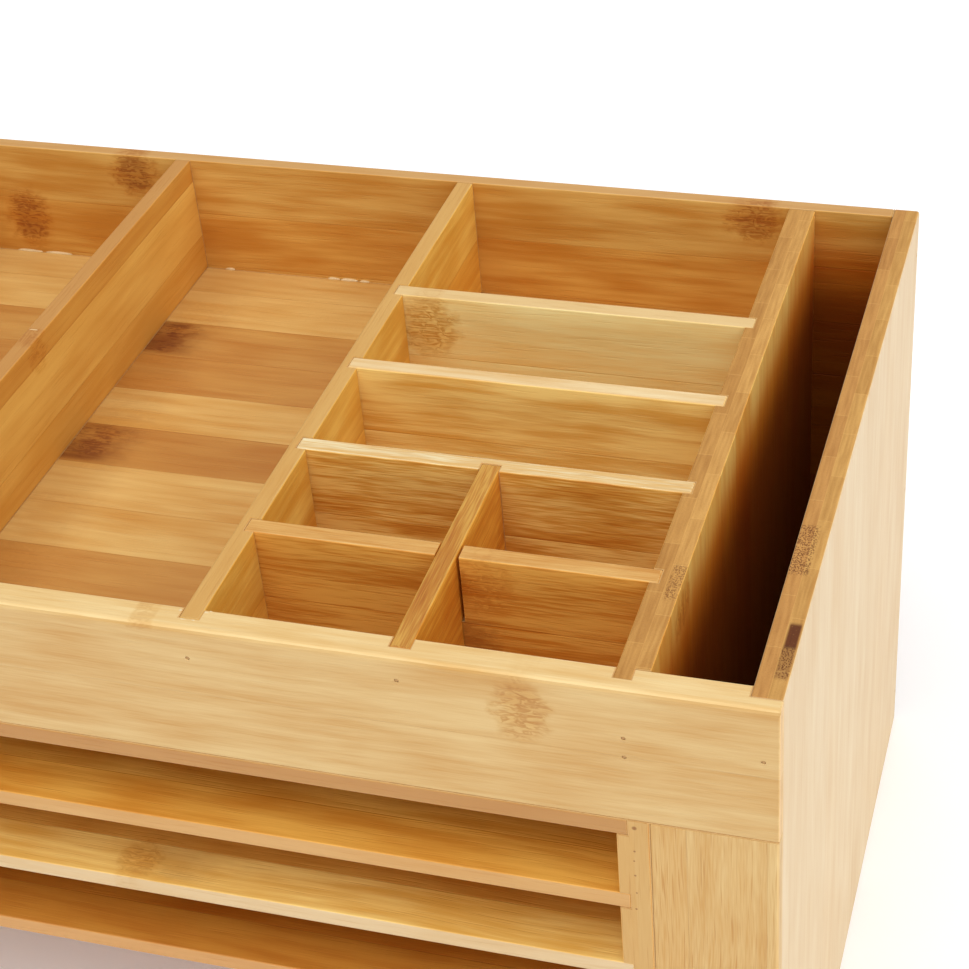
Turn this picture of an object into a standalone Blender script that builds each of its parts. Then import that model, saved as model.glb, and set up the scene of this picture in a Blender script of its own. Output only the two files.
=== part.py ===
"""Bamboo desktop organizer, built the way it is joined from boards.

A top tray with long and short dividers and a deep side slot stands on three letter shelves
and an open bay. Boards are let into each other by housings, tongues, rabbets and one
cross lap, and pinned with brads. All lengths are millimetres until they reach Blender.

+X is the right end, -Y the front with the shelf openings, and +Z is up. The origin is at
the middle of the footprint, on the surface that the organizer stands on.
"""

import math

import bmesh
import bpy
from mathutils import Vector

MM = 0.001

# Driving dimensions
WIDTH = 352.0
DEPTH = 245.0
HEIGHT = 218.0
SIDE_THICKNESS = 8.0
RAIL_THICKNESS = 8.5
BACK_THICKNESS = 5.0
PARTITION_THICKNESS = 8.5
PARTITION_RIGHT_PLY = 4.0
DIVIDER_THICKNESS = 5.5
SHELF_THICKNESS = 5.2

SLOT_WIDTH = 25.0
SMALL_TRAY_WIDTH = 107.8
WIDE_TRAY_WIDTH = 98.2
CELL_DEPTH = 33.4
SMALL_TRAY_DEPTH = 37.0
TRAY_DEPTH = 43.0
SHELF_PITCH = 26.5
SHELF_COUNT = 3
SLOT_FLOOR_LIFT = 4.0
SHORT_DIVIDER_FROM_PARTITION = 51.4

# How far one board goes into another
RAIL_HOUSING = 4.0
SHELF_HOUSING = 3.0
CENTER_DIVIDER_HOUSING = 3.0
PARTITION_HOUSING = 2.5
CROSS_DIVIDER_HOUSING = 2.7
SLOT_FLOOR_HOUSING = 2.5

# Fits and edges
GAP = 0.3
CROSS_LAP_PLAY = 0.5
OVERSHOOT = 1.0
EASED_EDGE = 0.5
SIDE_EDGE = 0.9
RAIL_FRONT_EDGE = 1.9
BEVEL_SEGMENTS = 4

# Brads
BRAD_LENGTH = 16.0
BRAD_SHANK_RADIUS = 0.35
BRAD_HEAD_RADIUS = 0.5
BRAD_CROWN_RADIUS = 0.44
BRAD_POINT_RADIUS = 0.1
BRAD_HEAD_DEPTH = 0.5
BRAD_CROWN_DEPTH = 0.15
BRAD_SUNK = 0.2
BRAD_TIP = 1.2
BRAD_CLEARANCE = 0.12
BRAD_SIDES = 12
BRAD_SMOOTH_ANGLE = 35

# Where the brads go: distances below the organizer's top, and shares of a shelf's length
RAIL_END_BRAD = 16.5
LONG_DIVIDER_BRAD = 9.5
SHORT_DIVIDER_BRAD = 7.0
TONGUE_BRADS = (15.3, 21.5)
TONGUE_BRAD_OFFSET = 1.4
TRAY_BACK_BRADS = (10.0, 32.0)
PARTITION_BACK_BRADS = (14.0, 85.0, 150.0, 198.0)
SIDE_BRADS = (15.0, 109.0, 203.0)
SHELF_BACK_BRADS = (0.25, 0.75)

# Faces that several boards are placed from
LEFT, RIGHT = -WIDTH / 2, WIDTH / 2
FRONT, BACK = -DEPTH / 2, DEPTH / 2
TRAY_TOP = HEIGHT - TRAY_DEPTH
RAIL_INNER = FRONT + RAIL_THICKNESS
RAIL_HOUSING_END = RAIL_INNER - RAIL_HOUSING
BACK_INNER = BACK - BACK_THICKNESS
LEFT_INNER = LEFT + SIDE_THICKNESS
RIGHT_INNER = RIGHT - SIDE_THICKNESS
PARTITION_RIGHT = RIGHT_INNER - SLOT_WIDTH
PARTITION_LEFT = PARTITION_RIGHT - PARTITION_THICKNESS
PLY_LINE = PARTITION_RIGHT - PARTITION_RIGHT_PLY
CENTER_RIGHT = PARTITION_LEFT - SMALL_TRAY_WIDTH
CENTER_LEFT = CENTER_RIGHT - DIVIDER_THICKNESS
LONG_RIGHT = CENTER_LEFT - WIDE_TRAY_WIDTH
LONG_LEFT = LONG_RIGHT - DIVIDER_THICKNESS
SHORT_RIGHT = PARTITION_LEFT - SHORT_DIVIDER_FROM_PARTITION
SHORT_LEFT = SHORT_RIGHT - DIVIDER_THICKNESS
CROSS_PITCHES = (SMALL_TRAY_DEPTH, SMALL_TRAY_DEPTH, CELL_DEPTH)

LIGHT_BAMBOO = (0.72, 0.50, 0.25)
WARM_BAMBOO = (0.60, 0.36, 0.13)
PALE_BAMBOO = (0.80, 0.62, 0.36)
DARK_BAMBOO = (0.48, 0.27, 0.09)
BRAD_STEEL = (0.30, 0.28, 0.25)


def clear_scene():
    for obj in list(bpy.data.objects):
        bpy.data.objects.remove(obj, do_unlink=True)


def principled(name, colour, roughness, metallic=0.0):
    material = bpy.data.materials.new(name)
    material.use_nodes = True
    shader = material.node_tree.nodes["Principled BSDF"]
    shader.inputs["Base Color"].default_value = (*colour, 1.0)
    shader.inputs["Roughness"].default_value = roughness
    shader.inputs["Metallic"].default_value = metallic
    return material


def add_object(name, mesh):
    obj = bpy.data.objects.new(name, mesh)
    bpy.context.scene.collection.objects.link(obj)
    return obj


def box_into(mesh_data, low, high):
    """Adds a box between two corners in millimetres, and returns its edges."""
    box = bmesh.ops.create_cube(mesh_data, size=1.0)
    middle = (Vector(low) + Vector(high)) / 2 * MM
    sides = (Vector(high) - Vector(low)) * MM
    for vert in box["verts"]:
        vert.co = middle + Vector(a * b for a, b in zip(vert.co, sides))
    return {edge for vert in box["verts"] for edge in vert.link_edges}


def turned_into(mesh_data, profile, start, along):
    """Adds a closed turned body: profile holds (depth along the axis, radius) pairs."""
    turn = Vector(along).to_track_quat("Z", "Y")
    rings = []
    for depth, radius in profile:
        ring = []
        for i in range(BRAD_SIDES):
            angle = 2 * math.pi * i / BRAD_SIDES
            point = Vector((radius * math.cos(angle), radius * math.sin(angle), depth))
            ring.append(mesh_data.verts.new((Vector(start) + turn @ point) * MM))
        rings.append(ring)
    mesh_data.faces.new(reversed(rings[0]))
    mesh_data.faces.new(rings[-1])
    for lower, upper in zip(rings, rings[1:]):
        for i in range(BRAD_SIDES):
            j = (i + 1) % BRAD_SIDES
            mesh_data.faces.new((lower[i], lower[j], upper[j], upper[i]))


def mesh_from(name, fill):
    """A new mesh that the function fill has drawn into, with its faces turned outwards."""
    mesh_data = bmesh.new()
    fill(mesh_data)
    bmesh.ops.recalc_face_normals(mesh_data, faces=mesh_data.faces)
    mesh = bpy.data.meshes.new(name)
    mesh_data.to_mesh(mesh)
    mesh_data.free()
    return mesh


class Board:
    """A straight board between two corners, with eased edges, that others are let into."""

    def __init__(self, name, low, high, colour, round_edge=None):
        self.name = name
        self.low = Vector(low)
        self.high = Vector(high)
        self.holes = []
        self.obj = add_object(name, self.shaped(round_edge or (lambda middle: EASED_EDGE)))
        self.obj.data.materials.append(principled(name + "_finish", colour, 0.42))
        bevel = self.obj.modifiers.new("eased_edges", "BEVEL")
        bevel.limit_method = "WEIGHT"
        bevel.width = RAIL_FRONT_EDGE * MM
        bevel.segments = BEVEL_SEGMENTS

    def shaped(self, radius_at):
        """The plain box. Each edge's bevel weight is its radius as a share of the largest."""
        mesh_data = bmesh.new()
        weights = mesh_data.edges.layers.float.new("bevel_weight_edge")
        for edge in box_into(mesh_data, self.low, self.high):
            middle = (edge.verts[0].co + edge.verts[1].co) / 2 / MM
            edge[weights] = radius_at(middle) / RAIL_FRONT_EDGE
        mesh = bpy.data.meshes.new(self.name)
        mesh_data.to_mesh(mesh)
        mesh_data.free()
        return mesh

    def carve(self, label, fill):
        """Cuts away what the function fill draws."""
        cutter = add_object(f"{self.name}_{label}", mesh_from(label, fill))
        cutter.hide_render = True
        cutter.display_type = "WIRE"
        cut = self.obj.modifiers.new(label, "BOOLEAN")
        cut.operation = "DIFFERENCE"
        cut.solver = "EXACT"
        cut.object = cutter

    def let_in(self, label, boards):
        """Cuts a housing for each of these boards, a fit's gap wider than the board."""
        grow = Vector((GAP, GAP, GAP))

        def fill(mesh_data):
            for board in boards:
                box_into(mesh_data, board.low - grow, board.high + grow)

        self.carve(label, fill)

    def notch(self, label, low, high):
        self.carve(label, lambda mesh_data: box_into(mesh_data, low, high))

    def drill(self):
        """Cuts the holes of every brad that goes into this board."""
        if self.holes:
            self.carve("brad_holes", lambda mesh_data: [hole(mesh_data) for hole in self.holes])


class Span:
    """The corners of a piece of a board, such as a tongue, that a housing is cut for."""

    def __init__(self, low, high):
        self.low = Vector(low)
        self.high = Vector(high)


def rail_edges(middle):
    """The rail's upper front edge is rounded, and its other edges are only eased."""
    at_front = abs(middle.y - FRONT) < GAP
    at_top = abs(middle.z - HEIGHT) < GAP
    return RAIL_FRONT_EDGE if at_front and at_top else EASED_EDGE


def side_edges(middle):
    """A side's outer edges are rounded more than its inner ones."""
    return SIDE_EDGE if abs(abs(middle.x) - WIDTH / 2) < GAP else EASED_EDGE


def brad(name, start, along, boards, steel):
    """A brad driven from a point on a face, and its hole in each board that it passes."""
    head_end = BRAD_SUNK + BRAD_HEAD_DEPTH
    body = (
        (BRAD_SUNK, BRAD_CROWN_RADIUS),
        (BRAD_SUNK + BRAD_CROWN_DEPTH, BRAD_HEAD_RADIUS),
        (head_end, BRAD_HEAD_RADIUS),
        (head_end, BRAD_SHANK_RADIUS),
        (BRAD_LENGTH - BRAD_TIP, BRAD_SHANK_RADIUS),
        (BRAD_LENGTH, BRAD_POINT_RADIUS),
    )
    bore = (
        (-OVERSHOOT, BRAD_HEAD_RADIUS + BRAD_CLEARANCE),
        (head_end + BRAD_CLEARANCE, BRAD_HEAD_RADIUS + BRAD_CLEARANCE),
        (head_end + BRAD_CLEARANCE, BRAD_SHANK_RADIUS + BRAD_CLEARANCE),
        (BRAD_LENGTH + BRAD_CLEARANCE, BRAD_SHANK_RADIUS + BRAD_CLEARANCE),
    )
    mesh = mesh_from(name, lambda mesh_data: turned_into(mesh_data, body, start, along))
    mesh.shade_smooth()
    mesh.set_sharp_from_angle(angle=math.radians(BRAD_SMOOTH_ANGLE))
    mesh.materials.append(steel)
    add_object(name, mesh)
    for board in boards:
        board.holes.append(lambda mesh_data: turned_into(mesh_data, bore, start, along))


def middle_of(board, axis):
    return (board.low[axis] + board.high[axis]) / 2


def outer_boards():
    """The sides, the back, the rail over the front and the panel that closes the slot."""
    rail = Board(
        "front_rail",
        (LEFT, FRONT, TRAY_TOP + GAP),
        (RIGHT, RAIL_INNER, HEIGHT),
        LIGHT_BAMBOO,
        rail_edges,
    )
    right_side = Board(
        "right_side_panel",
        (RIGHT_INNER, RAIL_HOUSING_END, 0),
        (RIGHT, BACK, HEIGHT),
        PALE_BAMBOO,
        side_edges,
    )
    left_side = Board(
        "left_side_panel",
        (LEFT, FRONT, 0),
        (LEFT_INNER, BACK, HEIGHT),
        PALE_BAMBOO,
        side_edges,
    )
    back = Board(
        "back_panel",
        (LEFT_INNER + GAP, BACK_INNER, 0),
        (RIGHT_INNER - GAP, BACK, HEIGHT),
        WARM_BAMBOO,
    )
    slot_front = Board(
        "slot_front_panel",
        (PARTITION_RIGHT + GAP, FRONT, 0),
        (RIGHT, RAIL_INNER, TRAY_TOP),
        LIGHT_BAMBOO,
        side_edges,
    )
    left_rail_end = Span(
        (LEFT, RAIL_HOUSING_END, TRAY_TOP),
        (LEFT_INNER, BACK, HEIGHT),
    )
    left_side.notch(
        "rail_seat",
        (LEFT - OVERSHOOT, FRONT - OVERSHOOT, TRAY_TOP),
        (LEFT_INNER + OVERSHOOT, RAIL_HOUSING_END, HEIGHT + OVERSHOOT),
    )
    rail.let_in("side_rabbets", (left_rail_end, right_side))
    slot_front.let_in("side_rabbet", (right_side,))
    return rail, right_side, left_side, back, slot_front


def slot_partition(rail):
    """The two-ply board beside the slot. Only its left ply is let into the rail."""
    partition = Board(
        "slot_partition",
        (PARTITION_LEFT, FRONT, 0),
        (PARTITION_RIGHT, BACK_INNER - GAP, HEIGHT),
        LIGHT_BAMBOO,
    )
    partition.notch(
        "rail_seat",
        (PARTITION_LEFT - OVERSHOOT, FRONT - OVERSHOOT, TRAY_TOP),
        (PARTITION_RIGHT + OVERSHOOT, RAIL_HOUSING_END, HEIGHT + OVERSHOOT),
    )
    partition.notch(
        "tongue_shoulder",
        (PLY_LINE, RAIL_HOUSING_END - OVERSHOOT, TRAY_TOP),
        (PARTITION_RIGHT + OVERSHOOT, RAIL_INNER + GAP, HEIGHT + OVERSHOOT),
    )
    tongue = Span(
        (PARTITION_LEFT, RAIL_HOUSING_END, TRAY_TOP),
        (PLY_LINE, RAIL_INNER, HEIGHT),
    )
    rail.let_in("partition_housing", (tongue,))
    return partition


def shelves_and_floors(left_side, right_side, partition):
    """The tray floor, the letter shelves under it and the floor of the side slot."""
    left_end = LEFT_INNER - SHELF_HOUSING
    right_end = PARTITION_LEFT + SHELF_HOUSING
    names = ["tray_floor", "letter_shelf_top", "letter_shelf_middle", "letter_shelf_bottom"]
    boards = []
    for i in range(SHELF_COUNT + 1):
        top = TRAY_TOP - i * SHELF_PITCH
        board = Board(
            names[i],
            (left_end, FRONT, top - SHELF_THICKNESS),
            (right_end, BACK_INNER - GAP, top),
            WARM_BAMBOO,
        )
        boards.append(board)
    slot_floor = Board(
        "slot_floor",
        (PARTITION_RIGHT - SLOT_FLOOR_HOUSING, RAIL_INNER + GAP, SLOT_FLOOR_LIFT),
        (RIGHT_INNER + SLOT_FLOOR_HOUSING, BACK_INNER - GAP, SLOT_FLOOR_LIFT + SHELF_THICKNESS),
        DARK_BAMBOO,
    )
    left_side.let_in("shelf_housings", boards)
    partition.let_in("shelf_housings", boards)
    partition.let_in("slot_floor_housing", (slot_floor,))
    right_side.let_in("slot_floor_housing", (slot_floor,))
    return boards, slot_floor


def long_dividers(rail):
    """The two dividers that run from the rail to the back panel."""
    boards = []
    for name, left, right in (
        ("left_long_divider", LONG_LEFT, LONG_RIGHT),
        ("center_long_divider", CENTER_LEFT, CENTER_RIGHT),
    ):
        board = Board(
            name,
            (left, RAIL_HOUSING_END, TRAY_TOP + GAP),
            (right, BACK_INNER - GAP, HEIGHT),
            LIGHT_BAMBOO,
        )
        boards.append(board)
    rail.let_in("divider_housings", boards)
    return boards


def cross_dividers(center, partition):
    """The full-width cross dividers, from the back one to the front one."""
    y_front = RAIL_INNER + 2 * CELL_DEPTH + 2 * SMALL_TRAY_DEPTH + 3 * DIVIDER_THICKNESS
    boards = []
    for i, pitch in enumerate((*CROSS_PITCHES, 0)):
        board = Board(
            f"cross_divider_{i + 1}",
            (CENTER_RIGHT - CENTER_DIVIDER_HOUSING, y_front, TRAY_TOP + GAP),
            (PARTITION_LEFT + PARTITION_HOUSING, y_front + DIVIDER_THICKNESS, HEIGHT),
            LIGHT_BAMBOO,
        )
        boards.append(board)
        y_front -= pitch + DIVIDER_THICKNESS
    center.let_in("cross_housings", boards)
    partition.let_in("cross_housings", boards)
    return boards


def short_divider(rail, behind, crossed):
    """The short divider, cross-lapped with the front cross divider."""
    lap = TRAY_TOP + TRAY_DEPTH / 2
    board = Board(
        "short_divider",
        (SHORT_LEFT, RAIL_HOUSING_END, TRAY_TOP + GAP),
        (SHORT_RIGHT, behind.low.y + CROSS_DIVIDER_HOUSING, HEIGHT),
        WARM_BAMBOO,
    )
    rail.let_in("short_divider_housing", (board,))
    behind.let_in("short_divider_housing", (board,))
    board.notch(
        "cross_lap",
        (SHORT_LEFT - OVERSHOOT, crossed.low.y - GAP, TRAY_TOP - OVERSHOOT),
        (SHORT_RIGHT + OVERSHOOT, crossed.high.y + GAP, lap + GAP / 2),
    )
    crossed.notch(
        "cross_lap",
        (SHORT_LEFT - GAP, crossed.low.y - OVERSHOOT, lap - GAP / 2),
        (SHORT_RIGHT + GAP + CROSS_LAP_PLAY, crossed.high.y + OVERSHOOT, HEIGHT + OVERSHOOT),
    )
    return board


def rail_brads(steel, rail, ends):
    """Brads through the rail, each into the end of a board that the rail holds."""
    for name, board, x, below_top in ends:
        brad(f"rail_brad_{name}", (x, FRONT, HEIGHT - below_top), (0, 1, 0), (rail, board), steel)


def back_brads(steel, back, uprights, levels):
    """Brads through the back panel: up the dividers, and along the shelves and floors."""
    for board, depths in uprights:
        for i, below_top in enumerate(depths):
            name = f"back_brad_{board.name}_{i + 1}"
            start = (middle_of(board, 0), BACK, HEIGHT - below_top)
            brad(name, start, (0, -1, 0), (back, board), steel)
    for board, places in levels:
        for i, x in enumerate(places):
            name = f"back_brad_{board.name}_{i + 1}"
            start = (x, BACK, middle_of(board, 2))
            brad(name, start, (0, -1, 0), (back, board), steel)


def side_brads(steel, back, sides):
    """Brads through each side into the ends of the back panel."""
    for name, side, face, inwards in sides:
        for i, below_top in enumerate(SIDE_BRADS):
            start = (face, middle_of(back, 1), HEIGHT - below_top)
            brad(f"side_brad_{name}_{i + 1}", start, (inwards, 0, 0), (side, back), steel)


def build():
    clear_scene()
    rail, right_side, left_side, back, slot_front = outer_boards()
    partition = slot_partition(rail)
    levels, slot_floor = shelves_and_floors(left_side, right_side, partition)
    left_divider, center_divider = long_dividers(rail)
    crosses = cross_dividers(center_divider, partition)
    short = short_divider(rail, crosses[2], crosses[3])

    steel = principled("brad_steel", BRAD_STEEL, 0.45, 1.0)
    in_tongue = PLY_LINE - TONGUE_BRAD_OFFSET
    rail_brads(
        steel,
        rail,
        (
            ("left_side", left_side, middle_of(left_side, 0), RAIL_END_BRAD),
            ("left_divider", left_divider, middle_of(left_divider, 0), LONG_DIVIDER_BRAD),
            ("center_divider", center_divider, middle_of(center_divider, 0), LONG_DIVIDER_BRAD),
            ("short_divider", short, middle_of(short, 0), SHORT_DIVIDER_BRAD),
            ("partition_upper", partition, in_tongue, TONGUE_BRADS[0]),
            ("partition_lower", partition, in_tongue, TONGUE_BRADS[1]),
            ("right_side", right_side, middle_of(right_side, 0), RAIL_END_BRAD),
        ),
    )
    shelf_length = levels[0].high.x - levels[0].low.x
    shelf_places = [levels[0].low.x + shelf_length * share for share in SHELF_BACK_BRADS]
    back_brads(
        steel,
        back,
        (
            (left_divider, TRAY_BACK_BRADS),
            (center_divider, TRAY_BACK_BRADS),
            (partition, PARTITION_BACK_BRADS),
        ),
        [(board, shelf_places) for board in levels] + [(slot_floor, [middle_of(slot_floor, 0)])],
    )
    side_brads(
        steel,
        back,
        (("left", left_side, LEFT, 1), ("right", right_side, RIGHT, -1)),
    )

    boards = [rail, right_side, left_side, back, slot_front, partition, slot_floor, short]
    for board in boards + levels + [left_divider, center_divider] + crosses:
        board.drill()


build()
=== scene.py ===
"""Looks of a laminated bamboo desk organizer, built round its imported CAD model.

World space is in metres. Lengths in the material recipes are in millimetres, as read
from object coordinates, which equal world coordinates because every CAD node's object
sits at the origin.
"""

import math

import bmesh
import bpy
from mathutils import Matrix, Vector


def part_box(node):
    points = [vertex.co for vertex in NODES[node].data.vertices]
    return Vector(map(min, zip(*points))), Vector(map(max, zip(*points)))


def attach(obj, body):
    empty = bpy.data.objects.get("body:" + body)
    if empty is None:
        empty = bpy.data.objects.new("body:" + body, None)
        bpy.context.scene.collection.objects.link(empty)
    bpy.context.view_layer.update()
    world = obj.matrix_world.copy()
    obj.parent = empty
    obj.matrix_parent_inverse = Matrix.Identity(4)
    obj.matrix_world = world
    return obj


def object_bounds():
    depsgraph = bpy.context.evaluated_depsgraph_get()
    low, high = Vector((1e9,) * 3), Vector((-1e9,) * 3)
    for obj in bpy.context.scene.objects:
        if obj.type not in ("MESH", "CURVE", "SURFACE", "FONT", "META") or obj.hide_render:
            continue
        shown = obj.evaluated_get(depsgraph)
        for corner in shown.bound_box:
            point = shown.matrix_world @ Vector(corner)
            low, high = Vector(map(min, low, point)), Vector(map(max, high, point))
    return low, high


MM = 0.001
AXES = {"X": 0, "Y": 1, "Z": 2}

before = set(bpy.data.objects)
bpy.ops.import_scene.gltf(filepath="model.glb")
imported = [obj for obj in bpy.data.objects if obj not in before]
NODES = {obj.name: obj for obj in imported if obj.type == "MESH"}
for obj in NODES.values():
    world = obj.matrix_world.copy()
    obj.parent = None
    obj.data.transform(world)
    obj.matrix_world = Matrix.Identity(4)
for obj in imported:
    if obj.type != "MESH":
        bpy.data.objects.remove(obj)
CAD_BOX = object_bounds()
scene = bpy.context.scene


# ---------------------------------------------------------------- shader building

COAT_ROUGHNESS = 0.32
SPECULAR = 0.35


class Net:
    """Adds shader nodes to one material. Every method returns an output socket."""

    def __init__(self, name):
        self.material = bpy.data.materials.new(name)
        self.material.use_nodes = True
        self.tree = self.material.node_tree
        self.tree.nodes.clear()

    def node(self, kind, **settings):
        made = self.tree.nodes.new(kind)
        for key, value in settings.items():
            setattr(made, key, value)
        return made

    def put(self, socket, value):
        if isinstance(value, bpy.types.NodeSocket):
            self.tree.links.new(value, socket)
        else:
            socket.default_value = value

    def math(self, operation, *values, clamp=False):
        made = self.node("ShaderNodeMath", operation=operation, use_clamp=clamp)
        for socket, value in zip(made.inputs, values):
            self.put(socket, value)
        return made.outputs[0]

    def add(self, *values):
        total = values[0]
        for value in values[1:]:
            total = self.math("ADD", total, value)
        return total

    def times(self, *values):
        total = values[0]
        for value in values[1:]:
            total = self.math("MULTIPLY", total, value)
        return total

    def ramp(self, value, start, end):
        """0 at start, 1 at end, smooth between. start may be above end."""
        made = self.node("ShaderNodeMapRange", interpolation_type="SMOOTHSTEP")
        low, high = min(start, end), max(start, end)
        rising = start < end
        for name, amount in (
            ("From Min", low),
            ("From Max", high),
            ("To Min", 0.0 if rising else 1.0),
            ("To Max", 1.0 if rising else 0.0),
        ):
            made.inputs[name].default_value = amount
        self.put(made.inputs["Value"], value)
        return made.outputs["Result"]

    def vector(self, x, y, z):
        made = self.node("ShaderNodeCombineXYZ")
        for socket, value in zip(made.inputs, (x, y, z)):
            self.put(socket, value)
        return made.outputs[0]

    def split(self, vector):
        made = self.node("ShaderNodeSeparateXYZ")
        self.put(made.inputs[0], vector)
        return made.outputs

    def millimetres(self):
        """The point in object coordinates, in millimetres, and the normal."""
        coordinates = self.node("ShaderNodeTexCoord")
        scale = self.node("ShaderNodeVectorMath", operation="SCALE")
        self.put(scale.inputs[0], coordinates.outputs["Object"])
        scale.inputs["Scale"].default_value = 1 / MM
        return scale.outputs[0], coordinates.outputs["Normal"]

    def noise(self, vector, detail=2.0, distortion=0.0):
        made = self.node("ShaderNodeTexNoise", noise_dimensions="3D")
        self.put(made.inputs["Vector"], vector)
        made.inputs["Scale"].default_value = 1.0
        made.inputs["Detail"].default_value = detail
        made.inputs["Roughness"].default_value = 0.5
        made.inputs["Distortion"].default_value = distortion
        return made.outputs["Fac"]

    def cells(self, vector):
        """Distance to the nearest cell point: 0 at a point, about 0.5 between them."""
        made = self.node("ShaderNodeTexVoronoi", voronoi_dimensions="3D")
        self.put(made.inputs["Vector"], vector)
        made.inputs["Scale"].default_value = 1.0
        made.inputs["Randomness"].default_value = 1.0
        return made.outputs["Distance"]

    def random(self, vector):
        made = self.node("ShaderNodeTexWhiteNoise", noise_dimensions="3D")
        self.put(made.inputs["Vector"], vector)
        return self.split(made.outputs["Color"])

    def mix(self, share, first, second, blend="MIX"):
        """Colour mix. Colours are linear RGB triples or sockets."""
        made = self.node("ShaderNodeMix", data_type="RGBA", blend_type=blend)
        made.clamp_result = True
        self.put(made.inputs[0], share)
        for socket, colour in ((made.inputs[6], first), (made.inputs[7], second)):
            if isinstance(colour, bpy.types.NodeSocket):
                self.put(socket, colour)
            else:
                socket.default_value = (*colour, 1.0)
        return made.outputs[2]

    def tint(self, colour, by, share=1.0):
        """The colour multiplied by another, as far as share says."""
        return self.mix(share, colour, by, "MULTIPLY")

    def swing(self, noise, amount):
        """A noise of 0..1 turned into plus or minus half the amount."""
        return self.times(self.math("SUBTRACT", noise, 0.5), amount)

    def off_middle(self, value):
        """How far a value of 0..1 is from 0.5."""
        return self.math("ABSOLUTE", self.math("SUBTRACT", value, 0.5))

    def scaled(self, *pairs):
        """A vector of three values, each given with its factor."""
        return self.vector(*(self.times(value, factor) for value, factor in pairs))

    def near(self, value, centre, half, soft):
        """1 where value is within half of centre, falling to 0 over soft."""
        away = self.math("ABSOLUTE", self.math("SUBTRACT", value, centre))
        return self.ramp(away, half + soft / 2, half - soft / 2)

    def finish(self, colour, roughness, height, depth, coat):
        """A Principled shader, lacquered by coat, with height as bump of depth metres."""
        self.shader = self.node("ShaderNodeBsdfPrincipled")
        self.put(self.shader.inputs["Base Color"], colour)
        self.put(self.shader.inputs["Roughness"], roughness)
        self.shader.inputs["Coat Weight"].default_value = coat
        self.shader.inputs["Coat Roughness"].default_value = COAT_ROUGHNESS
        self.shader.inputs["Specular IOR Level"].default_value = SPECULAR
        bump = self.node("ShaderNodeBump")
        bump.inputs["Strength"].default_value = 1.0
        bump.inputs["Distance"].default_value = depth
        self.put(bump.inputs["Height"], height)
        self.put(self.shader.inputs["Normal"], bump.outputs[0])
        output = self.node("ShaderNodeOutputMaterial")
        self.put(output.inputs["Surface"], self.shader.outputs[0])
        return self.material


def linear(red, green, blue):
    """Linear RGB of an sRGB colour given as 0..255."""

    def one(value):
        value /= 255
        return value / 12.92 if value <= 0.04045 else ((value + 0.055) / 1.055) ** 2.4

    return tuple(one(value) for value in (red, green, blue))


def shaded(colour, red, green, blue):
    """A linear colour scaled channel by channel, kept below full reflection."""
    return tuple(min(c * s, 0.95) for c, s in zip(colour, (red, green, blue)))


# ---------------------------------------------------------------- bamboo boards

LIGHT_STREAK = (1.09, 1.20, 1.44)
DARK_STREAK = (0.83, 0.66, 0.42)
# Lighter rounded edges: partly sanding wear, partly a painted highlight
EDGE_WEAR_AND_HIGHLIGHT = (1.06, 1.07, 1.08)
DARK_STRIP_TINT = (0.74, 0.56, 0.36)
SEAM_TINT = (0.84, 0.72, 0.54)
FIBRE_TINT = (0.80, 0.62, 0.40)
WARM_TINT = (1.0, 0.91, 0.76)
KNOT_TINT = (0.93, 0.82, 0.62)
KNOT_LINE_TINT = (0.72, 0.53, 0.33)
# Colour of stains and end-grain dots, and of painted shade in pits and on the tray floor
STAIN_AND_SHADE_TINT = (0.40, 0.22, 0.10)
CHAR_TINT = (0.24, 0.11, 0.01)
# Painted shade inside the side slot: an orange tint higher up, a deep brown lower down
SLOT_PAINTED_SHADE_TINT = (0.98, 0.60, 0.20)
DEEP_PAINTED_SHADE_TINT = (0.40, 0.29, 0.17)

# Noise stretched along the grain: (length, width, detail, shift)
FIBRES = {
    "cloud": (34.0, 13.0, 1.0, 47.0),
    "broad": (90.0, 6.5, 1.0, 0.0),
    "middle": (28.0, 2.0, 0.0, 11.0),
    "thin": (17.0, 0.6, 1.0, 31.0),
    "fine": (7.0, 0.4, 0.0, 23.0),
}
COARSE_STREAKS = {"cloud": 1.5, "broad": 1.15, "middle": 0.8}
FINE_STREAKS = {"thin": 1.4, "fine": 0.8}
FIBRE_DRIFT = 4.0
STRIP_SHIFT = 37.0
PLY_STAGGER = 0.43
SEAM_FROM, SEAM_TO = 0.30, 0.06
RAGGED = 10.0
NODE_FROM, NODE_TO = 6.5, 3.0
END_CONTRAST = 0.4
END_FAINT = 0.10
GLUE_LINE = 0.25
# Painted shade in the side slot: (from depth, to depth, tint), in millimetres below the top
SLOT_PAINTED_SHADES = ((4.0, 21.0, SLOT_PAINTED_SHADE_TINT), (7.0, 42.0, DEEP_PAINTED_SHADE_TINT))
BUMP_DEPTH = 0.00008
LACQUER = 0.12


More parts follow.
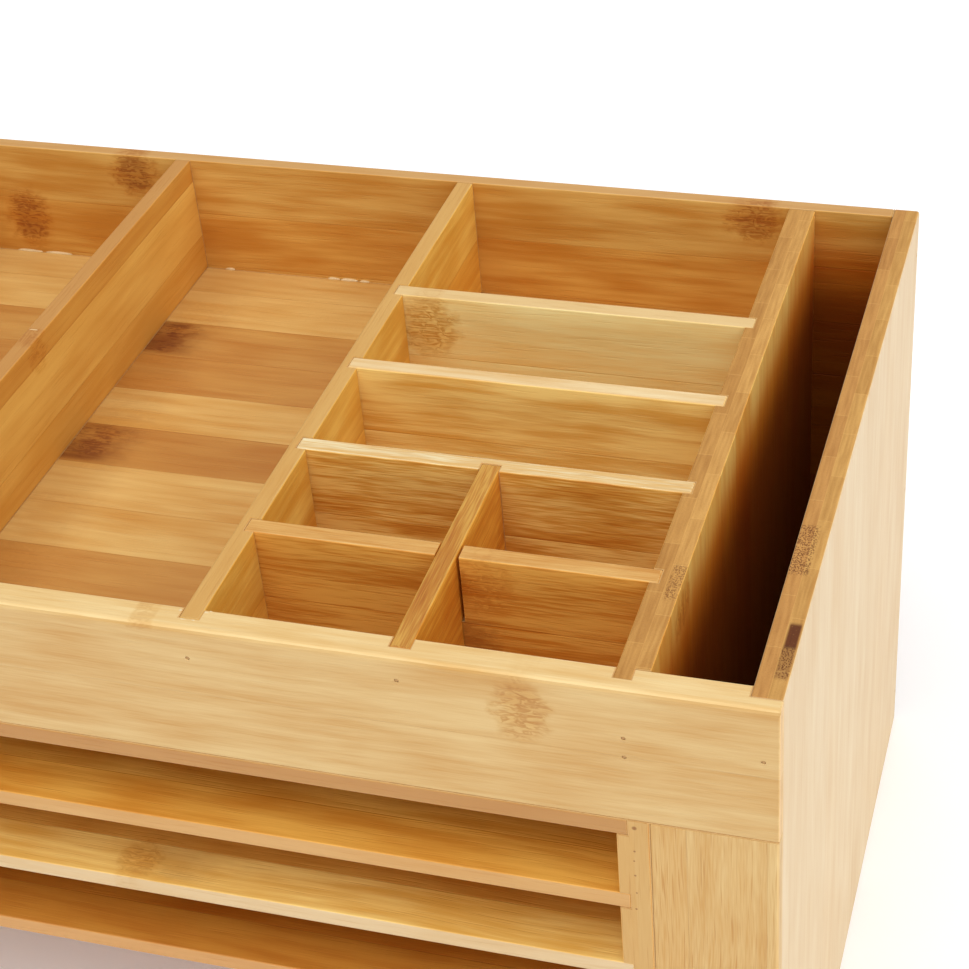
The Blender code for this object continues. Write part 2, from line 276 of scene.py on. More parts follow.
class Bamboo(Net):
    """The material of one board, built up layer by layer.

    grain, across and through name the world axes along the fibres, over the strips and
    through the thickness. seed gives the board its own random numbers.
    """

    def __init__(self, node, grain, across, through, seed):
        super().__init__("bamboo_" + node)
        self.seed = seed
        self.point, normal = self.millimetres()
        self.place = self.split(self.point)
        self.along, self.over, self.deep = (
            self.place[AXES[axis]] for axis in (grain, across, through)
        )
        self.facing = [self.math("ABSOLUTE", socket) for socket in self.split(normal)]
        self.on_edge = self.ramp(self.facing[AXES[across]], 0.6, 0.9)
        self.on_end = self.ramp(self.facing[AXES[grain]], 0.55, 0.85)

    def lay_strips(self, strip, first, ply):
        """Divides the board into strips and plies, each with its own random numbers."""
        position = self.math("DIVIDE", self.math("SUBTRACT", self.over, first), strip)
        self.layer = 0.0
        if ply is not None:
            self.layer = self.math("GREATER_THAN", self.deep, ply)
            position = self.add(position, self.times(self.layer, PLY_STAGGER))
        self.number = self.math("FLOOR", position)
        self.tone_random, self.hue_random, self.shift_random = self.random(
            self.vector(self.number, self.layer, self.seed)
        )
        within = self.off_middle(self.math("FRACT", position))
        self.seam = self.ramp(within, 0.5 - SEAM_FROM / strip, 0.5 - SEAM_TO / strip)

    def lay_fibres(self):
        """Fibres run along the grain, drift a little, and differ from strip to strip."""
        drift = self.noise(
            self.vector(self.times(self.along, 0.011), self.times(self.deep, 0.03), self.seed)
        )
        over = self.add(self.over, self.swing(drift, FIBRE_DRIFT))
        offset = self.times(self.shift_random, STRIP_SHIFT)
        self.fibres = {}
        for name, (length, width, detail, shift) in FIBRES.items():
            stretched = self.vector(
                self.add(self.times(self.along, 1 / length), offset, shift),
                self.times(over, 1 / width),
                self.times(self.deep, 1 / width),
            )
            self.fibres[name] = self.noise(stretched, detail=detail)
        self.bundle = self.ramp(self.fibres["thin"], 0.54, 0.74)
        ragged = self.noise(
            self.vector(self.times(self.along, 0.2), self.times(self.over, 0.28), self.seed)
        )
        self.ragged = self.swing(ragged, RAGGED)
        self.ragged_along = self.add(self.along, self.ragged)

    def streaks(self, figure, fineness, strip_contrast, edge_figure):
        """How light the wood is: 0.5 is its middle tone. Long edges are calmer."""
        total = self.swing(self.tone_random, strip_contrast)
        for name, share in COARSE_STREAKS.items():
            total = self.add(total, self.swing(self.fibres[name], figure * share))
        for name, share in FINE_STREAKS.items():
            amount = figure * fineness * share
            total = self.add(total, self.swing(self.fibres[name], amount))
        calm = self.math("SUBTRACT", 1.0, self.times(self.on_edge, 1 - edge_figure))
        return self.add(0.5, self.times(total, calm))

    def face(self, tone, body, edge_body, strip_contrast, tones, lines, seams):
        """Colour of the faces and the long edges, before knots and stains."""
        wood = self.mix(self.on_edge, body, edge_body)
        colour = self.mix(
            self.ramp(tone, 0.0, 1.0),
            self.tint(wood, DARK_STREAK),
            self.tint(wood, LIGHT_STREAK),
        )
        darkness = 0.0
        for index, value in enumerate(tones):
            here = self.math("COMPARE", self.number, float(index), 0.1)
            darkness = self.add(darkness, self.times(here, value))
        if tones:
            colour = self.tint(colour, DARK_STRIP_TINT, darkness)
        colour = self.tint(colour, FIBRE_TINT, self.ramp(tone, 0.1, -0.7))
        warmest = min(strip_contrast * 2.8, 1.0)
        warm = self.times(self.ramp(self.hue_random, 0.2, 1.0), warmest)
        colour = self.tint(colour, WARM_TINT, warm)
        colour = self.tint(colour, FIBRE_TINT, self.times(self.bundle, lines))
        return self.tint(colour, SEAM_TINT, self.times(self.seam, seams))

    def curly_lines(self):
        """Short curly lines, which only show inside knots."""
        curl = self.noise(
            self.scaled((self.along, 0.24), (self.over, 0.50), (self.deep, 0.4)),
            distortion=0.9,
        )
        curl = self.ramp(self.off_middle(curl), 0.16, 0.0)
        finest = self.add(self.fibres["thin"], self.fibres["fine"])
        return self.times(curl, self.ramp(finest, 0.65, 1.10))

    def knots(self, knots, node_pitch, node_strength):
        """Where the bamboo's nodes are: placed ones, and one in each strip by pitch."""
        marks = 0.0
        for knot_along, knot_over, half_length, half_width, strength in knots:
            beside = self.math("SUBTRACT", self.ragged_along, knot_along)
            beside = self.times(beside, 1 / half_length)
            above = self.math(
                "SUBTRACT", self.add(self.over, self.times(self.ragged, 0.5)), knot_over
            )
            above = self.times(above, 1 / half_width)
            away = self.add(self.times(beside, beside), self.times(above, above))
            here = self.times(self.ramp(away, 2.2, 0.2), strength)
            marks = self.math("MAXIMUM", marks, here)
        if node_pitch:
            turn = self.add(self.times(self.ragged_along, 1 / node_pitch), self.shift_random)
            apart = self.off_middle(self.math("FRACT", turn))
            here = self.ramp(apart, NODE_FROM / node_pitch, NODE_TO / node_pitch)
            marks = self.math("MAXIMUM", marks, self.times(here, node_strength))
        return marks

    def stain(self, colour, curl, stains):
        """Darker wood beside a node, drawn out along the grain, as real staining; on the tray
        floor a band along the foot of the left long divider is partly staining and partly
        painted shade.
        """
        clouded = self.add(self.fibres["cloud"], self.times(curl, 0.15))
        for stain_along, stain_over, half_length, half_width, strength in stains:
            here = self.times(
                self.near(self.ragged_along, stain_along, half_length, half_length * 1.4),
                self.near(self.over, stain_over, half_width, half_width * 0.35),
                self.ramp(clouded, 0.25, 0.65),
                strength,
            )
            colour = self.tint(colour, STAIN_AND_SHADE_TINT, here)
        return colour

    def end_grain(self, end_body, ply, first_ply, end_marks):
        """Colour of the end grain: vessels as dots, glue between strips and plies."""
        spots = self.cells(
            self.scaled((self.over, 2.1), (self.deep, 2.3), (self.along, 0.05))
        )
        self.faint = self.times(self.ramp(spots, 0.50, 0.18), END_FAINT)
        bold = self.ramp(spots, 0.58, 0.34)
        layers = self.noise(
            self.scaled((self.over, 0.09), (self.deep, 1.1), (self.along, 0.1)), detail=1.0
        )
        tone = self.add(
            0.5, self.swing(self.tone_random, END_CONTRAST), self.swing(layers, 1.1)
        )
        colour = self.mix(
            self.ramp(tone, -0.1, 1.1),
            shaded(end_body, 0.80, 0.70, 0.56),
            shaded(end_body, 1.18, 1.22, 1.28),
        )
        colour = self.tint(colour, STAIN_AND_SHADE_TINT, self.faint)
        glue_line = self.seam
        if ply is not None:
            colour = self.mix(self.layer, self.tint(colour, first_ply), colour)
            glue_line = self.math("MAXIMUM", self.seam, self.near(self.deep, ply, 0.10, 0.2))
        for mark_over, half_over, mark_deep, half_deep, dots, char in end_marks:
            here = self.times(
                self.near(self.over, mark_over, half_over, 1.8),
                self.near(self.deep, mark_deep, half_deep, 0.7),
            )
            dotted = self.times(here, bold, dots)
            solid = self.times(here, self.ramp(self.fibres["fine"], 0.0, 0.3), char)
            colour = self.tint(colour, CHAR_TINT, self.math("MAXIMUM", dotted, solid))
        return self.mix(
            self.times(glue_line, GLUE_LINE), colour, shaded(end_body, 1.5, 1.6, 1.8)
        )

    def paint_slot_shade(self, colour):
        """Darkens what lines the side slot as painted shade, more the deeper it is."""
        below = self.math("SUBTRACT", TOP, self.place[2])
        inside = self.times(
            self.near(self.place[0], SLOT_MIDDLE, SLOT_HALF + 0.4, 0.4),
            self.near(self.place[1], SLOT_CENTRE, SLOT_HALF_LENGTH + 0.2, 0.3),
        )
        for start, end_depth, tint in SLOT_PAINTED_SHADES:
            share = self.times(inside, self.ramp(below, start, end_depth))
            colour = self.tint(colour, tint, share)
        return colour

    def pit(self, colour, pits):
        """Small holes in the surface, darkened as painted shade inside them."""
        for x, y, z, radius in pits:
            away = self.node("ShaderNodeVectorMath", operation="DISTANCE")
            self.put(away.inputs[0], self.point)
            away.inputs[1].default_value = (x, y, z)
            spot = self.ramp(away.outputs["Value"], radius * 1.4, radius * 0.6)
            colour = self.tint(colour, STAIN_AND_SHADE_TINT, self.times(spot, 0.8))
        return colour

    def sanded_and_highlighted(self, colour):
        """Rounded edges are a little lighter: partly sanding wear, partly a painted highlight.
        """
        x, y, z = self.facing
        flattest = self.math("MAXIMUM", self.math("MAXIMUM", x, y), z)
        return self.tint(colour, EDGE_WEAR_AND_HIGHLIGHT, self.ramp(flattest, 0.985, 0.86))


def bamboo(
    node,
    grain,
    across,
    through,
    seed,
    body,
    edge_body=None,
    end_body=None,
    figure=1.0,
    edge_figure=0.3,
    fineness=0.5,
    lines=0.3,
    strip=20.0,
    first=0.0,
    strip_contrast=0.35,
    tones=(),
    seams=0.6,
    ply=None,
    first_ply=(1.0, 1.0, 1.0),
    end_marks=(),
    knots=(),
    node_pitch=0.0,
    node_strength=0.6,
    stains=(),
    in_slot=False,
    pits=(),
):
    """Laminated bamboo for one board, whose axes and seed class Bamboo explains.

    body is the wood's middle colour, edge_body that of the long edges and end_body that
    of the end grain. figure is the strength of the streaks, edge_figure its share on the
    long edges, fineness the share of the thinnest streaks and lines the strength of the
    dark fibres. Strips of width strip start at first on the across axis, and tones gives
    known strips' darkness in turn. strip_contrast is how much strips differ by chance,
    and seams how dark the joints between them are. ply is where two plies meet, and
    first_ply tints the first. An end mark is (across, half, through, half, dots, char),
    on the end grain. A knot is (along, across, half length, half width, strength), and
    so is an entry of stains, which darkens the wood: real staining, and on the
    tray floor also painted shade. node_pitch gives each strip a bamboo node about that
    often, of node_strength. in_slot paints shade on what lines the side slot,
    darker the deeper it is. A pit is (x, y, z, radius).
    """
    wood = Bamboo(node, grain, across, through, seed)
    wood.lay_strips(strip, first, ply)
    wood.lay_fibres()
    tone = wood.streaks(figure, fineness, strip_contrast, edge_figure)
    face = wood.face(tone, body, edge_body or body, strip_contrast, tones, lines, seams)
    curl = wood.curly_lines()
    marks = wood.knots(knots, node_pitch, node_strength)
    face = wood.tint(face, KNOT_TINT, marks)
    face = wood.tint(face, KNOT_LINE_TINT, wood.times(marks, curl))
    face = wood.stain(face, curl, stains)
    end_body = end_body or shaded(body, 0.85, 0.8, 0.7)
    end = wood.end_grain(end_body, ply, first_ply, end_marks)
    colour = wood.mix(wood.on_end, face, end)
    # Painted shade on the faces that line the side slot
    if in_slot:
        colour = wood.paint_slot_shade(colour)
    colour = wood.sanded_and_highlighted(wood.pit(colour, pits))
    roughness = wood.add(
        0.42,
        wood.times(wood.fibres["fine"], 0.16),
        wood.times(wood.bundle, 0.08),
        wood.times(marks, 0.08),
        wood.times(wood.on_end, 0.30),
    )
    height = wood.add(
        wood.times(wood.fibres["fine"], 0.35),
        wood.times(wood.fibres["middle"], 0.4),
        wood.times(wood.bundle, -0.5),
        wood.times(wood.seam, -0.7),
        wood.times(marks, curl, -0.8),
        wood.times(wood.on_end, wood.faint, -3.0),
    )
    return wood.finish(colour, roughness, height, BUMP_DEPTH, LACQUER)


def dress(node, material):
    """Gives a CAD node this material in every slot."""
    slots = NODES[node].data.materials
    for index in range(len(slots)):
        slots[index] = material


def board(node, grain, across, through, seed, body, **look):
    """Dresses a CAD board in its own bamboo. Colours are sRGB, 0..255."""
    for name in ("edge_body", "end_body"):
        if name in look:
            look[name] = linear(*look[name])
    dress(node, bamboo(node, grain, across, through, seed, linear(*body), **look))


def middle_of(node, axis):
    """The middle of a CAD node along an axis, in millimetres."""
    low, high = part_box(node)
    return (low[AXES[axis]] + high[AXES[axis]]) / 2 / MM


def span(low, high):
    """The middle and the half length of a span."""
    return (low + high) / 2, (high - low) / 2


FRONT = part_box("front_rail")[0].y / MM
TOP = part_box("front_rail")[1].z / MM
SLOT_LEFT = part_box("slot_partition")[1].x / MM
SLOT_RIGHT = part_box("right_side_panel")[0].x / MM
RAIL_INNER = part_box("front_rail")[1].y / MM
BACK_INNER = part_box("back_panel")[0].y / MM
SLOT_MIDDLE, SLOT_HALF = span(SLOT_LEFT, SLOT_RIGHT)
SLOT_CENTRE, SLOT_HALF_LENGTH = span(RAIL_INNER, BACK_INNER)

board("front_rail", "X", "Z", "Y", 1.0, (212, 174, 110), edge_body=(237, 205, 141),
      end_body=(224, 188, 136), figure=0.45, edge_figure=0.8, fineness=0.6, strip=21.5,
      first=TOP - 43.0, strip_contrast=0.12, seams=0.1, lines=0.15,
      knots=[(112.0, TOP - 11.0, 6.0, 8.5, 0.85), (11.5, TOP - 0.5, 3.5, 1.6, 0.35)])
board("back_panel", "X", "Z", "Y", 2.0, (219, 168, 83), edge_body=(214, 172, 110),
      figure=0.8, fineness=0.3, strip=21.0, first=TOP - 210.0, seams=0.3, in_slot=True,
      knots=[(-99.5, TOP - 7.0, 8.0, 7.5, 1.0), (-145.5, TOP - 29.0, 7.0, 10.0, 1.0),
             (123.0, TOP - 6.0, 8.0, 7.0, 1.0)],
      stains=[(-99.5, TOP - 7.0, 5.0, 6.0, 0.55), (-145.5, TOP - 29.0, 5.0, 8.0, 0.45),
              (123.0, TOP - 6.0, 6.0, 6.0, 0.25)])
CROSS_LOOKS = {
    1: {"body": (255, 229, 156), "edge_body": (241, 217, 163), "figure": 0.35,
        "strip_contrast": 0.1, "knots": [(34.5, TOP - 11.0, 8.0, 9.0, 1.0)]},
    2: {"body": (246, 214, 129), "edge_body": (246, 222, 172), "figure": 1.0},
    3: {"body": (236, 189, 98), "edge_body": (253, 235, 192), "figure": 1.4,
        "fineness": 1.2, "lines": 0.9},
    4: {"body": (231, 165, 69), "edge_body": (227, 184, 112), "figure": 1.3,
        "fineness": 1.0, "lines": 0.6,
        "knots": [(90.0, TOP - 9.0, 7.0, 8.0, 0.6)],
        "stains": [(86.0, TOP - 30.0, 6.0, 9.0, 0.6)]},
}
for number, look in CROSS_LOOKS.items():
    board(f"cross_divider_{number}", "X", "Z", "Y", 2.0 + number, strip=22.0,
          edge_figure=0.5, first=TOP - 44.0, **look)
board("left_long_divider", "Y", "Z", "X", 7.0, (231, 178, 83), edge_body=(219, 172, 101),
      figure=0.4, fineness=0.3, strip=21.5, first=TOP - 51.0, tones=(0.0, 0.0, 0.7),
      knots=[(FRONT + 120.5, TOP - 4.0, 4.5, 6.0, 0.6)])
board("center_long_divider", "Y", "Z", "X", 8.0, (240, 192, 88),
      edge_body=(224, 188, 119), figure=0.6, fineness=0.7, strip=21.5, first=TOP - 43.0)
board("short_divider", "Y", "Z", "X", 9.0, (229, 163, 57), edge_body=(212, 165, 78),
      edge_figure=1.3, figure=1.0, fineness=1.2, lines=1.0, strip=21.5, first=TOP - 43.0)
FLOOR_TONES = (0.9, 0.8, 0.9, 0.1, 0.15, 1.0, 0.05, 1.0, 0.95, 0.15, 0.2)
board("tray_floor", "X", "Y", "Z", 10.0, (221, 177, 100), edge_body=(190, 140, 78),
      figure=0.5, fineness=0.3, strip=21.15, first=FRONT + 12.0, tones=FLOOR_TONES,
      strip_contrast=0.1,
      knots=[(-70.0, FRONT + 192.5, 4.0, 8.0, 0.8), (-68.0, FRONT + 128.5, 4.0, 8.0, 0.7)],
      stains=[(-77.0, FRONT + 192.5, 12.0, 9.5, 0.9), (-78.0, FRONT + 128.5, 15.0, 9.5, 0.8),
              # This band along the foot of the left long divider is partly staining and partly
              # painted shade cast by the divider
              (-66.0, FRONT + 120.0, 10.0, 105.0, 0.2)])
SHELF_LOOKS = {
    "top": {"body": (235, 180, 82), "edge_body": (211, 171, 112)},
    "middle": {"body": (245, 207, 117), "edge_body": (222, 194, 146),
               "tones": (0.0, 1.0, 1.0), "knots": [(-8.5, FRONT + 8.0, 5.0, 7.0, 0.55)],
               "stains": [(0.0, FRONT + 8.0, 12.0, 6.0, 0.3)]},
    "bottom": {"body": (192, 125, 43), "edge_body": (206, 154, 90)},
}
for number, (place_name, look) in enumerate(SHELF_LOOKS.items()):
    board(f"letter_shelf_{place_name}", "X", "Y", "Z", 11.0 + number, figure=0.7,
          fineness=0.4, strip=20.5, first=FRONT - 6.5, **look)
board("slot_floor", "Y", "X", "Z", 14.0, (206, 154, 84), node_pitch=270.0)
RIGHT_PLY = middle_of("right_side_panel", "X")
board("right_side_panel", "Z", "Y", "X", 15.0, (224, 198, 152), figure=0.2,
      fineness=0.4, strip=20.3, first=FRONT + 3.0, ply=RIGHT_PLY, end_body=(198, 149, 79),
      first_ply=(0.90, 0.81, 0.78), strip_contrast=0.08, seams=0.15, lines=0.1, in_slot=True,
      end_marks=[(FRONT + 62.5, 10.3, RIGHT_PLY - 1.4, 2.6, 0.8, 0.0),
                 (FRONT + 28.1, 4.6, RIGHT_PLY + 1.9, 1.5, 1.0, 1.0),
                 (FRONT + 18.0, 6.0, RIGHT_PLY + 1.8, 1.6, 1.0, 0.45)])
board("left_side_panel", "Z", "Y", "X", 16.0, (226, 196, 144), figure=0.3, fineness=0.5,
      strip=20.3, first=FRONT + 3.0, ply=middle_of("left_side_panel", "X"), seams=0.3,
      strip_contrast=0.2, end_body=(196, 143, 75), node_pitch=300.0, node_strength=0.5)
# Holes along the partition's ply line, darkened as painted shade: (x, y, z, radius)
PLY_HOLES = [(139.3, FRONT, 172.7, 0.6), (139.1, FRONT, 164.5, 0.3),
             (138.9, FRONT, 161.0, 0.25), (139.0, FRONT, 155.8, 0.3),
             (139.2, FRONT, 149.5, 0.25), (138.9, FRONT, 143.5, 0.3)]
board("slot_partition", "Z", "Y", "X", 17.0, (255, 197, 101), edge_body=(209, 168, 100),
      figure=0.45, fineness=1.0, strip=20.3, first=FRONT + 18.0, ply=139.0,
      end_body=(202, 151, 80), lines=0.5, in_slot=True, first_ply=(0.88, 0.83, 0.76),
      end_marks=[(FRONT + 43.0, 7.0, 141.2, 1.7, 0.6, 0.0)],
      knots=[(TOP - 8.0, FRONT + 43.0, 5.0, 7.0, 1.0)], pits=PLY_HOLES)
board("slot_front_panel", "Z", "X", "Y", 18.0, (214, 177, 112), strip=20.5,
      first=132.0, figure=0.35, fineness=1.2, strip_contrast=0.15, seams=0.3, lines=0.9)


def steel():
    """Brad heads: dull wire, tarnished brown."""
    net = Net("steel_brad")
    tarnish = net.noise(net.millimetres()[0], detail=3.0)
    colour = net.mix(tarnish, linear(172, 128, 78), linear(200, 158, 104))
    roughness = net.add(0.35, net.times(tarnish, 0.3))
    net.finish(colour, roughness, tarnish, depth=0.00003, coat=0.0)
    net.shader.inputs["Metallic"].default_value = 0.15
    return net.material


STEEL = steel()
for name in sorted(NODES):
    if "brad" in name:
        dress(name, STEEL)


# ---------------------------------------------------------------- glue

# The gap between boards in the CAD model, and how far below the surface a film stops
GAP = 0.3
SINK = 0.10
RAIL_HOUSING = 4.0
PARTITION_THICKNESS = 8.5
PARTITION_RIGHT_PLY = 4.0
SHELVES = ("letter_shelf_top", "letter_shelf_middle", "letter_shelf_bottom")
GLUE_BODY = (212, 168, 104)
RESIDUE_BODY = (232, 208, 160)


def glue(name, body, depth):
    """Dried glue: clouded, slightly glossy and uneven."""
    net = Net(name)
    cloud = net.noise(net.millimetres()[0], detail=3.0)
    base = linear(*body)
    colour = net.mix(cloud, shaded(base, 0.84, 0.74, 0.6), shaded(base, 1.08, 1.14, 1.25))
    roughness = net.add(0.35, net.times(cloud, 0.25))
    return net.finish(colour, roughness, cloud, depth, coat=0.1)


def box_of(node):
    """A CAD node's two corners in millimetres."""
    return tuple(tuple(value / MM for value in corner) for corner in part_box(node))


def piece_of(name, built, material, smooth=False):
    """Makes an object of a bmesh, and frees the bmesh."""
    mesh = bpy.data.meshes.new(name)
    built.to_mesh(mesh)
    built.free()
    if smooth:
        mesh.shade_smooth()
    mesh.materials.append(material)
    piece = bpy.data.objects.new(name, mesh)
    scene.collection.objects.link(piece)
    return piece


class Films:
    """Thin films of glue that fill the gaps between boards, gathered into one piece."""

    def __init__(self, name):
        self.name = name
        self.built = bmesh.new()

    def slab(self, x_span, y_span, z_span):
        spans = [sorted(pair) for pair in (x_span, y_span, z_span)]
        middle = Vector([(low + high) / 2 * MM for low, high in spans])
        sides = Vector([(high - low) * MM for low, high in spans])
        cube = bmesh.ops.create_cube(self.built, size=1.0)
        for vert in cube["verts"]:
            vert.co = middle + vert.co * sides

    def along(self, axes, first, second, third):
        """A slab whose spans are given in the order of the named axes."""
        spans = dict(zip(axes, (first, second, third)))
        self.slab(spans["X"], spans["Y"], spans["Z"])

    def sleeve(self, axes, end, mouth, sides, length):
        """Round a board's end in its housing. axes names the directions into the
        housing, over the board's thickness and along the housing."""
        out = GAP if end > mouth else -GAP
        self.along(axes, (end, end + out), (sides[0] - GAP, sides[1] + GAP), length)
        start = mouth + (SINK if end > mouth else -SINK)
        self.along(axes, (start, end), (sides[0] - GAP, sides[0]), length)
        self.along(axes, (start, end), (sides[1], sides[1] + GAP), length)

    def finish(self, material):
        piece = piece_of(self.name, self.built, material)
        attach(piece, "root")


def tray_glue(material):
    """Round the dividers' ends, and under the dividers."""
    films = Films("glue_tray_joints")
    _, center_high = box_of("center_long_divider")
    partition_low, _ = box_of("slot_partition")
    _, floor_high = box_of("tray_floor")
    standing = (floor_high[2] + GAP, TOP - SINK)
    under = (floor_high[2], floor_high[2] + GAP)
    for number in range(1, 5):
        low, high = box_of(f"cross_divider_{number}")
        sides = (low[1], high[1])
        films.sleeve("XYZ", low[0], center_high[0], sides, standing)
        films.sleeve("XYZ", high[0], partition_low[0], sides, standing)
        inset = (low[1] + SINK, high[1] - SINK)
        films.slab((center_high[0], partition_low[0]), inset, under)
    short_low, short_high = box_of("short_divider")
    cross_low, _ = box_of("cross_divider_3")
    films.sleeve(
        "YXZ", short_high[1], cross_low[1], (short_low[0], short_high[0]), standing
    )
    for name in ("left_long_divider", "center_long_divider"):
        low, high = box_of(name)
        length = (low[1] + RAIL_HOUSING, high[1])
        films.slab((low[0] + SINK, high[0] - SINK), length, under)
    length = (short_low[1] + RAIL_HOUSING, cross_low[1])
    films.slab((short_low[0] + SINK, short_high[0] - SINK), length, under)
    films.finish(material)


def rail_glue(material):
    """Round what the rail holds, and along the rail's lower edge."""
    films = Films("glue_rail_joints")
    rail_low, rail_high = box_of("front_rail")
    housing_end = box_of("short_divider")[0][1]
    inner = RAIL_INNER
    standing = (rail_low[2], TOP - SINK)
    for name in ("left_long_divider", "center_long_divider", "short_divider"):
        low, high = box_of(name)
        films.sleeve("YXZ", housing_end, inner, (low[0], high[0]), standing)
    shoulder = SLOT_LEFT - PARTITION_RIGHT_PLY
    tongue = (SLOT_LEFT - PARTITION_THICKNESS, shoulder)
    films.sleeve("YXZ", housing_end, inner, tongue, standing)
    films.slab((shoulder, SLOT_LEFT), (inner, inner + GAP), standing)
    whole = (SINK, TOP - SINK)
    end = (housing_end - GAP, housing_end)
    for side, face, outer in ((1, SLOT_RIGHT, rail_high[0]), (-1, -SLOT_RIGHT, rail_low[0])):
        tall = whole if side > 0 else standing
        films.slab((face - side * GAP, face), (housing_end, inner - SINK), tall)
        films.slab((face - side * GAP, outer - side * SINK), end, tall)
    films.slab(
        (rail_low[0] + SINK, rail_high[0] - SINK),
        (FRONT + SINK, housing_end - GAP),
        (rail_low[2] - GAP, rail_low[2]),
    )
    films.finish(material)


def front_glue(material):
    """Between the slot's front panel and the partition, and round the shelves' ends."""
    films = Films("glue_front_joints")
    panel_low, panel_high = box_of("slot_front_panel")
    films.slab(
        (SLOT_LEFT, panel_low[0]), (FRONT + SINK, panel_high[1] - SINK), (SINK, panel_high[2])
    )
    left_face = box_of("left_side_panel")[1][0]
    right_face = box_of("slot_partition")[0][0]
    for name in ("tray_floor", *SHELVES):
        low, high = box_of(name)
        sides = (low[2], high[2])
        length = (RAIL_INNER if name == "tray_floor" else FRONT + SINK, high[1])
        for end, mouth in ((low[0], left_face), (high[0], right_face)):
            films.sleeve("XZY", end, mouth, sides, length)
    low, high = box_of("tray_floor")
    for end, mouth in ((low[0], left_face), (high[0], right_face)):
        out = GAP if end > mouth else -GAP
        under_rail = (FRONT + SINK, RAIL_INNER)
        films.slab((mouth + out / 2, end + out), under_rail, (low[2] - GAP, low[2]))
        films.slab((end, end + out), under_rail, (low[2], high[2]))
    films.finish(material)


def back_glue(material):
    """Between the back panel and what meets it."""
    films = Films("glue_back_joints")
    back_low, back_high = box_of("back_panel")
    for side, face in ((1, SLOT_RIGHT), (-1, -SLOT_RIGHT)):
        films.slab(
            (face - side * GAP, face), (back_low[1], back_high[1] - SINK), (SINK, TOP - SINK)
        )
    uprights = ("left_long_divider", "center_long_divider", "slot_partition")
    for name in (*uprights, "tray_floor", *SHELVES, "slot_floor"):
        low, high = box_of(name)
        films.slab(
            (low[0] + SINK, high[0] - SINK),
            (high[1], back_low[1]),
            (low[2] + SINK, high[2] - SINK),
        )
    films.finish(material)


def residue(material):
    """Glue squeezed out of the joints: flattened drops at the foot of the back, and on
    top of the left divider and the rail. Each is (x, y, z, half x, half y, half z)."""
    foot = box_of("tray_floor")[1][2] + 0.1
    back = box_of("back_panel")[0][1] - 0.2
    drops = [
        (-68.5, back, foot, 2.1, 0.7, 0.5),
        (-28.3, back, foot, 2.4, 0.6, 0.5),
        (-22.5, back, foot, 3.6, 0.8, 0.6),
        (-16.9, back, foot, 2.2, 0.6, 0.4),
        (-148.0, back, foot, 5.5, 0.7, 0.5),
        (-136.5, back, foot, 6.5, 0.6, 0.5),
        (-80.4, 3.2, TOP, 1.8, 0.18, 0.06),
        (20.6, -115.4, TOP, 0.55, 0.35, 0.10),
        (22.6, -118.6, TOP, 0.7, 0.25, 0.10),
        (25.4, -118.5, TOP, 0.5, 0.25, 0.10),
        (27.6, -115.0, TOP, 0.7, 0.3, 0.10),
        (28.6, -114.4, TOP, 0.4, 0.25, 0.10),
    ]
    built = bmesh.new()
    for x, y, z, half_x, half_y, half_z in drops:
        made = bmesh.ops.create_icosphere(built, subdivisions=3, radius=1.0)
        for vert in made["verts"]:
            lump = 1 + 0.16 * math.sin(3.1 * vert.co.x + x) + 0.1 * math.sin(5 * vert.co.y + y)
            drop = Vector((vert.co.x * half_x, vert.co.y * half_y, vert.co.z * half_z))
            vert.co = (Vector((x, y, z)) + drop * lump) * MM
    piece = piece_of("glue_residue", built, material, smooth=True)
    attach(piece, "root")


FILM = glue("dried_glue_film", GLUE_BODY, 0.00002)
tray_glue(FILM)
rail_glue(FILM)
front_glue(FILM)
back_glue(FILM)
residue(glue("dried_glue_residue", RESIDUE_BODY, 0.00004))


# ---------------------------------------------------------------- stage, light, camera

WHITE = (1.0, 1.0, 1.0, 1.0)
FLOOR_HALF = 20.0
FLOOR_DROP = 0.0002
FLOOR_GLOW = 0.12
WORLD_STRENGTH = 0.25


def floor():
    """A pale floor that is wide enough to fill the low views, with a faint glow of its own."""
    net = Net("studio_floor")
    coordinates = net.node("ShaderNodeTexCoord")
    grain = net.noise(coordinates.outputs["Object"])
    colour = net.mix(grain, (0.93, 0.93, 0.94), (0.96, 0.96, 0.97))
    net.finish(colour, 0.8, grain, depth=0.00001, coat=0.0)
    net.shader.inputs["Emission Color"].default_value = WHITE
    net.shader.inputs["Emission Strength"].default_value = FLOOR_GLOW
    built = bmesh.new()
    bmesh.ops.create_grid(built, x_segments=1, y_segments=1, size=FLOOR_HALF)
    made = piece_of("studio_floor", built, net.material)
    made.location.z = CAD_BOX[0].z - FLOOR_DROP


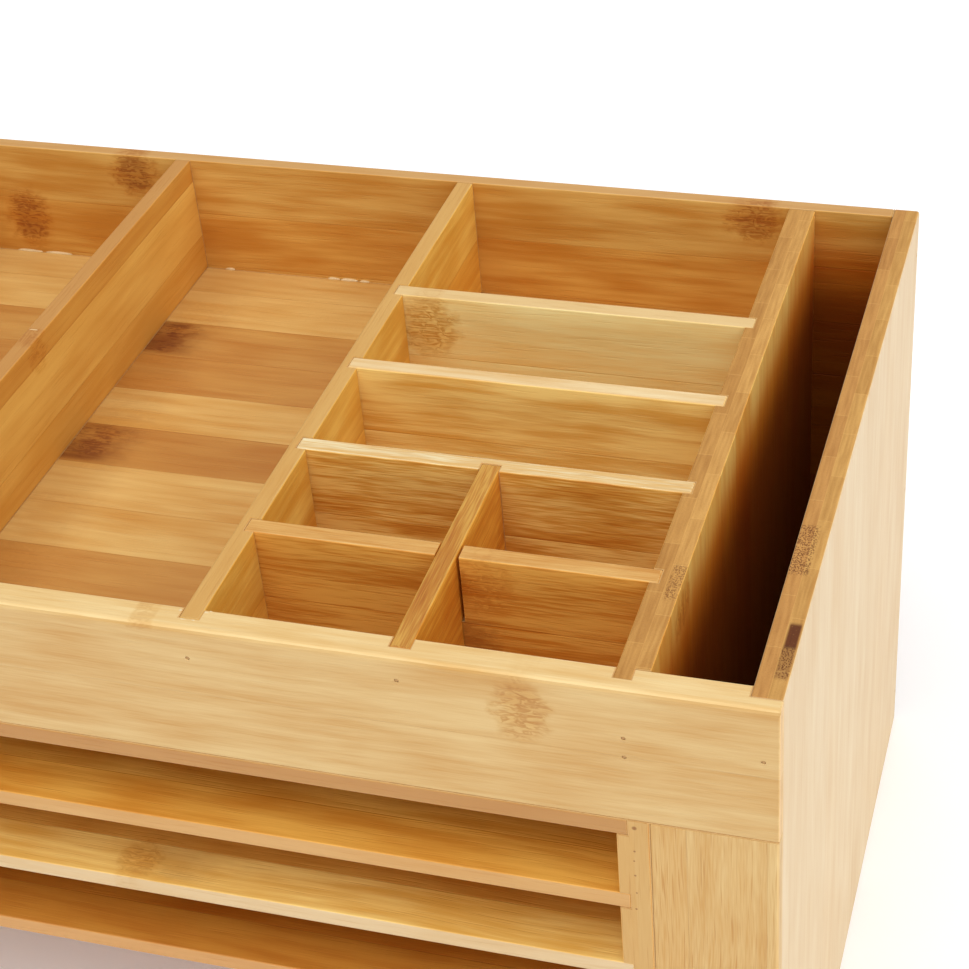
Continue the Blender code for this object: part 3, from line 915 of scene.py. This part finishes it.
def direction(azimuth, elevation):
    """Towards azimuth, 0 in front and 90 at the right, and elevation, in degrees."""
    turn, rise = math.radians(azimuth), math.radians(elevation)
    return Vector((
        math.sin(turn) * math.cos(rise), -math.cos(turn) * math.cos(rise), math.sin(rise)
    ))


def sun(name, azimuth, elevation, strength, spread):
    """A soft white light from this direction. spread is its size in degrees."""
    data = bpy.data.lights.new(name, "SUN")
    data.energy = strength
    data.angle = math.radians(spread)
    made = bpy.data.objects.new(name, data)
    made.rotation_euler = direction(azimuth, elevation).to_track_quat("Z", "Y").to_euler()
    scene.collection.objects.link(made)


floor()
sun("light_right", 90.0, 30.0, 0.76, 40.0)
sun("light_right_front", 45.0, 60.0, 0.75, 50.0)
sun("light_left_front", -45.0, 60.0, 0.70, 50.0)
sun("light_front", 0.0, 55.0, 0.56, 40.0)
sun("light_back", 180.0, 60.0, 0.60, 50.0)
sun("light_low_right", 85.0, 6.0, 0.28, 14.0)
sun("light_low_front", 10.0, 6.0, 0.45, 14.0)
world = bpy.data.worlds.new("studio")
world.use_nodes = True
background = world.node_tree.nodes["Background"]
background.inputs["Color"].default_value = WHITE
background.inputs["Strength"].default_value = WORLD_STRENGTH
scene.world = world
scene.view_settings.view_transform = "Standard"

CAMERA_PLACE = Vector((0.24187, -0.49057, 0.55576))
CAMERA_AZIMUTH = 18.08
CAMERA_ELEVATION = 35.80
CAMERA_ROLL = -4.179
CAMERA_LENS = 79.331
CAMERA_SHIFT = -0.0593


def camera():
    data = bpy.data.cameras.new("camera")
    data.sensor_width = 36.0
    data.lens = CAMERA_LENS
    data.shift_x = CAMERA_SHIFT
    data.clip_start = 0.01
    data.clip_end = 50.0
    turn, roll = math.radians(CAMERA_AZIMUTH), math.radians(CAMERA_ROLL)
    back = direction(CAMERA_AZIMUTH, CAMERA_ELEVATION)
    level = Vector((math.cos(turn), math.sin(turn), 0.0))
    up = back.cross(level)
    right = level * math.cos(roll) + up * math.sin(roll)
    above = up * math.cos(roll) - level * math.sin(roll)
    made = bpy.data.objects.new("camera", data)
    made.matrix_world = Matrix.Translation(CAMERA_PLACE) @ Matrix(
        (right, above, back)
    ).transposed().to_4x4()
    scene.collection.objects.link(made)
    scene.camera = made


camera()
